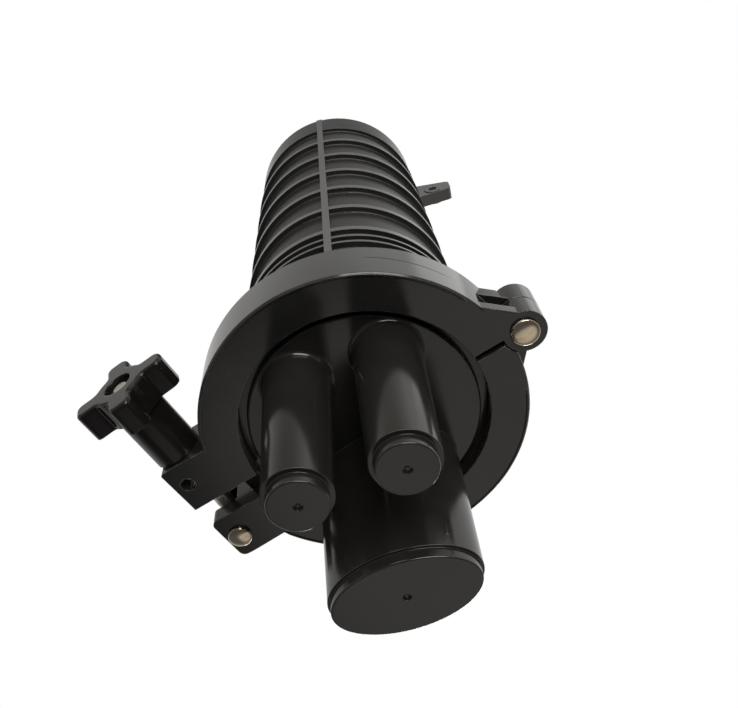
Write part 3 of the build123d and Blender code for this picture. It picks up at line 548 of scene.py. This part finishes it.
dress(clamp_plastic, "clamp_half_knob", "clamp_half_pin")

bead_reach, bead_half, bead_height, bead_ends = 0.0906, 0.0009, 0.0005, (0.36, 2.74)
bead_fade, bead_thin = 0.025, 0.1
front_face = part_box("clamp_half_pin")[0][2]


def rim_bead(name, way, body):
    """Raised bead along the front rim of one clamp half, which thins out towards both ends."""
    steps, sides = 120, 12
    shape = bmesh.new()
    loops = []
    for step in range(steps + 1):
        share = step / steps
        turn = way * (bead_ends[0] + (bead_ends[1] - bead_ends[0]) * share)
        swell = bead_thin + (1 - bead_thin) * min(1.0, share / bead_fade, (1 - share) / bead_fade)
        loop = []
        for side in range(sides):
            angle = 2 * math.pi * side / sides
            reach = bead_reach + bead_half * swell * math.cos(angle)
            height = front_face + bead_height * swell * math.sin(angle)
            loop.append(shape.verts.new((reach * math.cos(turn), reach * math.sin(turn), height)))
        loops.append(loop)
    join_loops(shape, loops)
    shape.faces.new(list(reversed(loops[-1])))
    finished_piece(name, shape, True, clamp_plastic, body)


rim_bead("rim_bead_pin", 1, "closure")
rim_bead("rim_bead_knob", -1, "clamp_half")

# Pins and their push-on rings: turned steel with a warm nickel plate. The pins hold the hinge and
# the swing bolt, and their heads are slightly domed.
nickel = plated_metal(
    "nickel",
    bright=(0.64, 0.55, 0.42),
    dull=(0.42, 0.35, 0.26),
    gloss=(0.12, 0.26),
    brush_depth=0.00001,
    brush=1400.0,
)
dress(nickel, "hinge_pin", "bolt_pin", "pin_clips")
crown_height, crown_share, crown_sunk = 0.0009, 0.985, 0.0006


def pin_crown(name, pin):
    """Shallow dome over the face of a pin's head, as heading leaves it."""
    rings, sides = 10, 48
    low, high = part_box(pin)
    middle = Vector(((low[0] + high[0]) / 2, (low[1] + high[1]) / 2, low[2]))
    radius = crown_share * (high[0] - low[0]) / 2
    shape = bmesh.new()
    loops = []
    for ring in range(rings):
        lean = math.pi / 2 * ring / rings
        reach = radius * math.cos(lean)
        height = crown_sunk - (crown_sunk + crown_height) * math.sin(lean)
        loop = []
        for side in range(sides):
            turn = 2 * math.pi * side / sides
            point = middle + Vector((reach * math.cos(turn), reach * math.sin(turn), height))
            loop.append(shape.verts.new(point))
        loops.append(loop)
    join_loops(shape, loops)
    tip = shape.verts.new(middle - Vector((0.0, 0.0, crown_height)))
    for side in range(sides):
        shape.faces.new((loops[-1][side], tip, loops[-1][(side + 1) % sides]))
    finished_piece(name, shape, True, nickel, "closure")


pin_crown("hinge_pin_crown", "hinge_pin")
pin_crown("bolt_pin_crown", "bolt_pin")

# Swing bolt: zinc-plated steel with an eye on the bolt pin; it turns out of the ears when the knob
# is slack.
bolt_steel = plated_metal("bolt_steel", (0.74, 0.71, 0.66), (0.42, 0.38, 0.34), (0.38, 0.6))
dress(bolt_steel, "eye_bolt")

# Knob: a glossy black moulding with four lobes on a long barrel, moulded over a turned brass insert
# that runs on the swing bolt.
brass = plated_metal("brass", (0.75, 0.58, 0.3), (0.5, 0.38, 0.18), (0.2, 0.4))
dress(brass, "knob_insert")
knob_plastic = moulded_plastic(
    "knob_plastic",
    deep=(0.006, 0.0053, 0.005),
    pale=(0.0095, 0.008, 0.0074),
    worn=(0.05, 0.05, 0.048),
    gloss=(0.12, 0.2),
    edge_width=0.0012,
    grain=1500.0,
    grain_depth=0.000015,
    rub=0.35,
)
knob_plastic.node_tree.nodes["Principled BSDF"].inputs["Specular IOR Level"].default_value = 0.28
dress(knob_plastic, "star_knob")

# Camera and floor: the camera stands below, between the hinge's side and the knob's, and looks up
# along the ports. The pale floor lies under the port ends, and it shows only to a camera above it.
image_width, focal_pixels = 738, 850.0
camera_place = Vector((0.12837, -0.24348, -0.28870))
camera_right = Vector((0.834707, 0.545990, -0.071825))
camera_up = Vector((0.500948, -0.698648, 0.510825))
camera_back = camera_right.cross(camera_up)
camera_turn = Matrix((camera_right, camera_up, camera_back)).transposed().to_4x4()
camera_data = bpy.data.cameras.new("camera")
camera_data.sensor_width = 36.0
camera_data.lens = camera_data.sensor_width * focal_pixels / image_width
camera = bpy.data.objects.new("camera", camera_data)
bpy.context.scene.collection.objects.link(camera)
camera.matrix_world = Matrix.Translation(camera_place) @ camera_turn
bpy.context.scene.camera = camera

floor_size, floor_drop, floor_tone = 12.0, 0.0004, (0.9, 0.9, 0.9, 1.0)
floor_mesh = bpy.data.meshes.new("floor")
corners = [(x * floor_size, y * floor_size, -floor_drop) for x, y in ((-1, -1), (1, -1), (1, 1), (-1, 1))]
floor_mesh.from_pydata(corners, [], [(0, 1, 2, 3)])
floor = bpy.data.objects.new("floor", floor_mesh)
bpy.context.scene.collection.objects.link(floor)
floor_paint, tree, paint = new_material("floor_paint")
paint.inputs["Base Color"].default_value = floor_tone
paint.inputs["Roughness"].default_value = 0.9
paint.inputs["Specular IOR Level"].default_value = 0.0
clear = add(tree, "ShaderNodeBsdfTransparent")
path = add(tree, "ShaderNodeLightPath")
below = add(tree, "ShaderNodeNewGeometry").outputs["Backfacing"]
seen = math_node(tree, "MULTIPLY", path.outputs["Is Camera Ray"], math_node(tree, "SUBTRACT", 1.0, below))
mixer = add(tree, "ShaderNodeMixShader")
tree.links.new(seen, mixer.inputs["Fac"])
tree.links.new(clear.outputs["BSDF"], mixer.inputs[1])
tree.links.new(paint.outputs["BSDF"], mixer.inputs[2])
tree.links.new(mixer.outputs["Shader"], tree.nodes["Material Output"].inputs["Surface"])
floor_mesh.materials.append(floor_paint)

# Surroundings: a white room, dimmer on the knob's side and away from the hinge, and dark overhead
# and below but for one pale patch. The black plastic is drawn by what it mirrors; the camera itself,
# directly or through the clear cover, sees plain white.
room_tones = (
    (-1.0, (0.1, 0.1, 0.105)),
    (-0.5, (0.12, 0.12, 0.125)),
    (-0.05, (0.7, 0.69, 0.67)),
    (0.2, (1.0, 0.99, 0.975)),
    (0.93, (1.0, 1.0, 0.99)),
    (0.965, (0.2, 0.2, 0.195)),
)
dim_tone, dim_above = (0.3, 0.27, 0.235), (0.0, 0.4)
dim_sides = (("Y", -0.3, -0.64, 1.0), ("X", -0.15, -0.65, 0.6))
patch_way, patch_tone = Vector((-0.12, 0.50, -0.86)).normalized(), (0.64, 0.605, 0.56)
patch_spread, patch_sides = (0.86, 0.95), (("X", -0.475, -0.4), ("Y", 0.32, 0.44))
world = bpy.data.worlds.new("studio")
bpy.context.scene.world = world
world.use_nodes = True
tree = world.node_tree
way = add(tree, "ShaderNodeTexCoord").outputs["Generated"]
parts = add(tree, "ShaderNodeSeparateXYZ")
tree.links.new(way, parts.inputs["Vector"])
ramp = add(tree, "ShaderNodeValToRGB")
stops = ramp.color_ramp.elements
while len(stops) < len(room_tones):
    stops.new(0.5)
for stop, (level, tone) in zip(stops, room_tones):
    stop.position = (level + 1) / 2
    stop.color = (*tone, 1.0)
tree.links.new(remap(tree, parts.outputs["Z"], -1.0, 1.0), ramp.inputs["Fac"])
walls = ramp.outputs["Color"]
above = remap(tree, parts.outputs["Z"], *dim_above)
for side, light, dark, share in dim_sides:
    dimmed = remap(tree, parts.outputs[side], light, dark, 0.0, share)
    walls = mix_colour(tree, math_node(tree, "MULTIPLY", dimmed, above), walls, dim_tone)
facing = add(tree, "ShaderNodeVectorMath", operation="DOT_PRODUCT")
tree.links.new(way, facing.inputs[0])
facing.inputs[1].default_value = patch_way
patch = remap(tree, facing.outputs["Value"], *patch_spread)
for side, dark, light in patch_sides:
    patch = math_node(tree, "MULTIPLY", patch, remap(tree, parts.outputs[side], dark, light))
room = tree.nodes["Background"]
tree.links.new(mix_colour(tree, patch, walls, patch_tone), room.inputs["Color"])
room.inputs["Strength"].default_value = 1.0
white = add(tree, "ShaderNodeBackground")
white.inputs["Color"].default_value = (1.0, 1.0, 1.0, 1.0)
white.inputs["Strength"].default_value = 1.0
path = add(tree, "ShaderNodeLightPath")
plain = math_node(tree, "MAXIMUM", path.outputs["Is Camera Ray"], path.outputs["Is Transmission Ray"])
mixer = add(tree, "ShaderNodeMixShader")
tree.links.new(plain, mixer.inputs["Fac"])
tree.links.new(room.outputs["Background"], mixer.inputs[1])
tree.links.new(white.outputs["Background"], mixer.inputs[2])
tree.links.new(mixer.outputs["Shader"], tree.nodes["World Output"].inputs["Surface"])

# Lamps: square softboxes that the camera doesn't see. The warm key lights the port ends from below,
# a weak window lamp stands above the hinge's side, and two more light the knob's side and the back.
object_middle = (cad_box[0] + cad_box[1]) / 2


def soft_lamp(name, direction, distance, size, power, colour=(1.0, 1.0, 1.0)):
    """Square softbox that faces the middle of the object."""
    data = bpy.data.lights.new(name, "AREA")
    data.shape = "SQUARE"
    data.size = size
    data.energy = power
    data.color = colour
    lamp = bpy.data.objects.new(name, data)
    lamp.location = object_middle + direction.normalized() * distance
    lamp.rotation_euler = (-direction).to_track_quat("-Z", "Y").to_euler()
    lamp.visible_camera = False
    bpy.context.scene.collection.objects.link(lamp)


soft_lamp("key", Vector((0.56, -0.64, -0.51)), distance=1.3, size=0.7, power=12.0, colour=(1.0, 0.985, 0.96))
soft_lamp("window", Vector((0.52, 0.08, 0.85)), distance=1.4, size=0.5, power=0.5)
soft_lamp("front", Vector((0.2, -0.95, 0.25)), distance=1.5, size=0.8, power=3.5)
soft_lamp("back", Vector((-0.3, 0.93, 0.25)), distance=1.5, size=0.9, power=14.0)

bpy.context.scene.view_settings.view_transform = "Standard"
